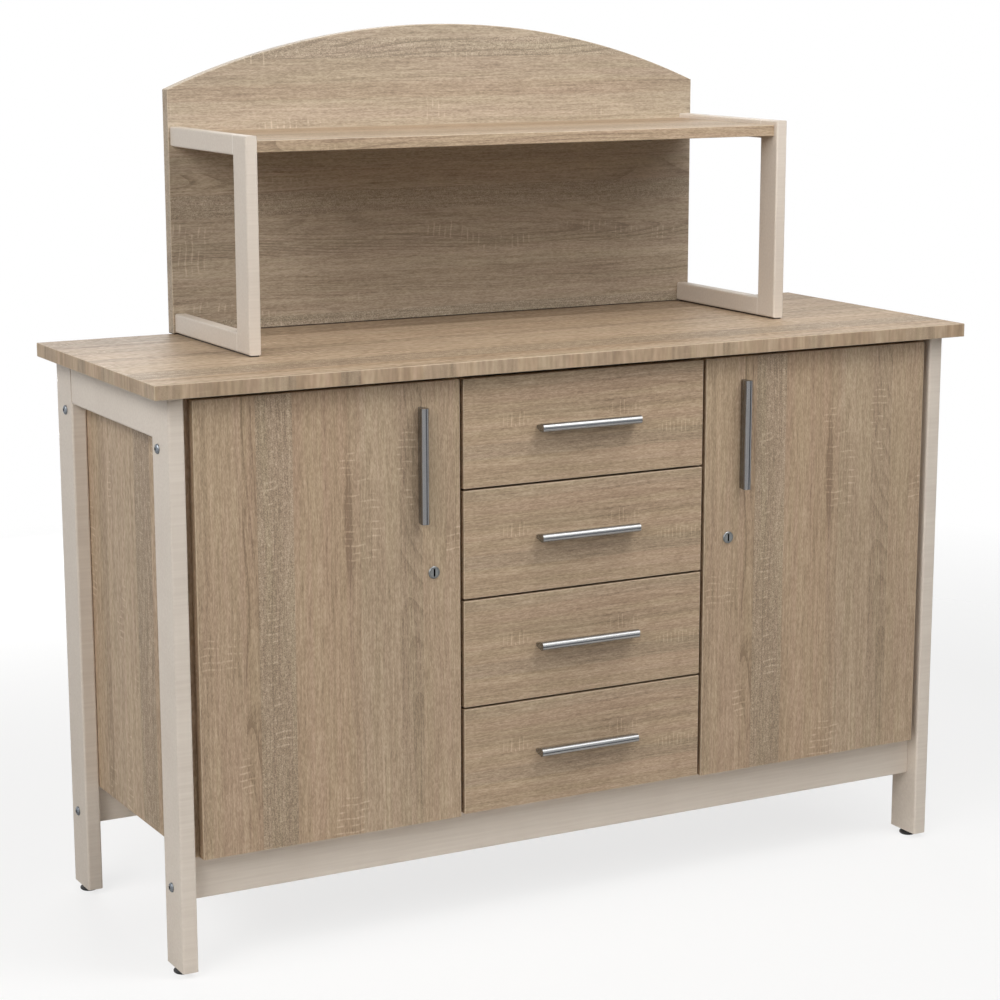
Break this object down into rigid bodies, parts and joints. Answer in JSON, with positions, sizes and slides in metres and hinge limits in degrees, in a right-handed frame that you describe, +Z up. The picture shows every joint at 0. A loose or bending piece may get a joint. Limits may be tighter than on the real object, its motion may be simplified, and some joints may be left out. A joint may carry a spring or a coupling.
{
  "type": "buffet cabinet",
  "caption": "Buffet cabinet with a steel frame, lockable side doors, a middle stack of drawers, a board worktop and an arched hutch with a shelf.",
  "frame": {"origin": "floor, at the middle of the bounding box", "axes": "+X to the right across the width, -Y out of the front, +Z up"},
  "size_m": [1.45, 0.5316, 1.404],
  "materials": {
    "oak_decor_board": "matt sawn-oak melamine decor on particle board",
    "white_drawer_board": "white melamine on particle board",
    "greige_powder_coat": "satin powder coat on steel tube",
    "brushed_aluminium": "brushed extrusion",
    "plated_steel": "nickel plate",
    "lock_steel": "dark nickel plate",
    "white_runner_enamel": "white epoxy enamel",
    "black_foot_plastic": "moulded"
  },
  "bodies": {
    "cabinet": {"side_frame_left": "greige_powder_coat", "side_frame_right": "greige_powder_coat", "lower_rail_front": "greige_powder_coat", "lower_rail_rear": "greige_powder_coat", "worktop": "oak_decor_board", "side_panel_left": "oak_decor_board", "side_panel_right": "oak_decor_board", "partition_left": "oak_decor_board", "partition_right": "oak_decor_board", "bottom_panel": "oak_decor_board", "back_panel": "oak_decor_board", "cupboard_shelf_left": "oak_decor_board", "cupboard_shelf_right": "oak_decor_board", "lock_keeper_left": "plated_steel", "lock_keeper_right": "plated_steel", "hinge_arm_left_lower": "plated_steel", "hinge_arm_left_upper": "plated_steel", "hinge_arm_right_lower": "plated_steel", "hinge_arm_right_upper": "plated_steel", "drawer_runner_1_left": "white_runner_enamel", "drawer_runner_1_right": "white_runner_enamel", "drawer_runner_2_left": "white_runner_enamel", "drawer_runner_2_right": "white_runner_enamel", "drawer_runner_3_left": "white_runner_enamel", "drawer_runner_3_right": "white_runner_enamel", "drawer_runner_4_left": "white_runner_enamel", "drawer_runner_4_right": "white_runner_enamel", "hutch_back_panel": "oak_decor_board", "hutch_bracket_left": "greige_powder_coat", "hutch_bracket_right": "greige_powder_coat", "hutch_shelf": "oak_decor_board"},
    "left_door": {"door_left": "oak_decor_board", "door_handle_left": "brushed_aluminium", "lock_body_left": "plated_steel", "hinge_cup_left_lower": "plated_steel", "hinge_cup_left_upper": "plated_steel"},
    "right_door": {"door_right": "oak_decor_board", "door_handle_right": "brushed_aluminium", "lock_body_right": "plated_steel", "hinge_cup_right_lower": "plated_steel", "hinge_cup_right_upper": "plated_steel"},
    "left_lock_plug": {"lock_cam_left": "lock_steel"},
    "right_lock_plug": {"lock_cam_right": "lock_steel"},
    "drawer_1": {"drawer_front_1": "oak_decor_board", "drawer_box_1": "white_drawer_board", "drawer_handle_1": "brushed_aluminium"},
    "drawer_2": {"drawer_front_2": "oak_decor_board", "drawer_box_2": "white_drawer_board", "drawer_handle_2": "brushed_aluminium"},
    "drawer_3": {"drawer_front_3": "oak_decor_board", "drawer_box_3": "white_drawer_board", "drawer_handle_3": "brushed_aluminium"},
    "drawer_4": {"drawer_front_4": "oak_decor_board", "drawer_box_4": "white_drawer_board", "drawer_handle_4": "brushed_aluminium"},
    "front_left_foot": {"foot_front_left": "black_foot_plastic"},
    "front_right_foot": {"foot_front_right": "black_foot_plastic"},
    "rear_left_foot": {"foot_rear_left": "black_foot_plastic"},
    "rear_right_foot": {"foot_rear_right": "black_foot_plastic"}
  },
  "joints": [
    {"name": "left_door_swing", "type": "hinge", "parent": "cabinet", "child": "left_door", "pos_m": [-0.6593, -0.242, 0.5322], "axis": [0, 0, -1], "range_deg": [0, 105]},
    {"name": "right_door_swing", "type": "hinge", "parent": "cabinet", "child": "right_door", "pos_m": [0.6593, -0.242, 0.5322], "axis": [0, 0, 1], "range_deg": [0, 105]},
    {"name": "left_lock_turn", "type": "hinge", "parent": "left_door", "child": "left_lock_plug", "pos_m": [-0.2698, -0.242, 0.584], "axis": [0, -1, 0], "range_deg": [0, 90]},
    {"name": "right_lock_turn", "type": "hinge", "parent": "right_door", "child": "right_lock_plug", "pos_m": [0.2698, -0.242, 0.584], "axis": [0, 1, 0], "range_deg": [0, 90]},
    {"name": "drawer_1_slide", "type": "slide", "parent": "cabinet", "child": "drawer_1", "axis": [0, -1, 0], "range_m": [0, 0.3]},
    {"name": "drawer_2_slide", "type": "slide", "parent": "cabinet", "child": "drawer_2", "axis": [0, -1, 0], "range_m": [0, 0.3]},
    {"name": "drawer_3_slide", "type": "slide", "parent": "cabinet", "child": "drawer_3", "axis": [0, -1, 0], "range_m": [0, 0.3]},
    {"name": "drawer_4_slide", "type": "slide", "parent": "cabinet", "child": "drawer_4", "axis": [0, -1, 0], "range_m": [0, 0.3]},
    {"name": "front_left_foot_turn", "type": "hinge", "parent": "cabinet", "child": "front_left_foot", "pos_m": [-0.6845, -0.208, 0], "axis": [0, 0, 1], "continuous": true},
    {"name": "front_right_foot_turn", "type": "hinge", "parent": "cabinet", "child": "front_right_foot", "pos_m": [0.6845, -0.208, 0], "axis": [0, 0, 1], "continuous": true},
    {"name": "rear_left_foot_turn", "type": "hinge", "parent": "cabinet", "child": "rear_left_foot", "pos_m": [-0.6845, 0.213, 0], "axis": [0, 0, 1], "continuous": true},
    {"name": "rear_right_foot_turn", "type": "hinge", "parent": "cabinet", "child": "rear_right_foot", "pos_m": [0.6845, 0.213, 0], "axis": [0, 0, 1], "continuous": true}
  ]
}
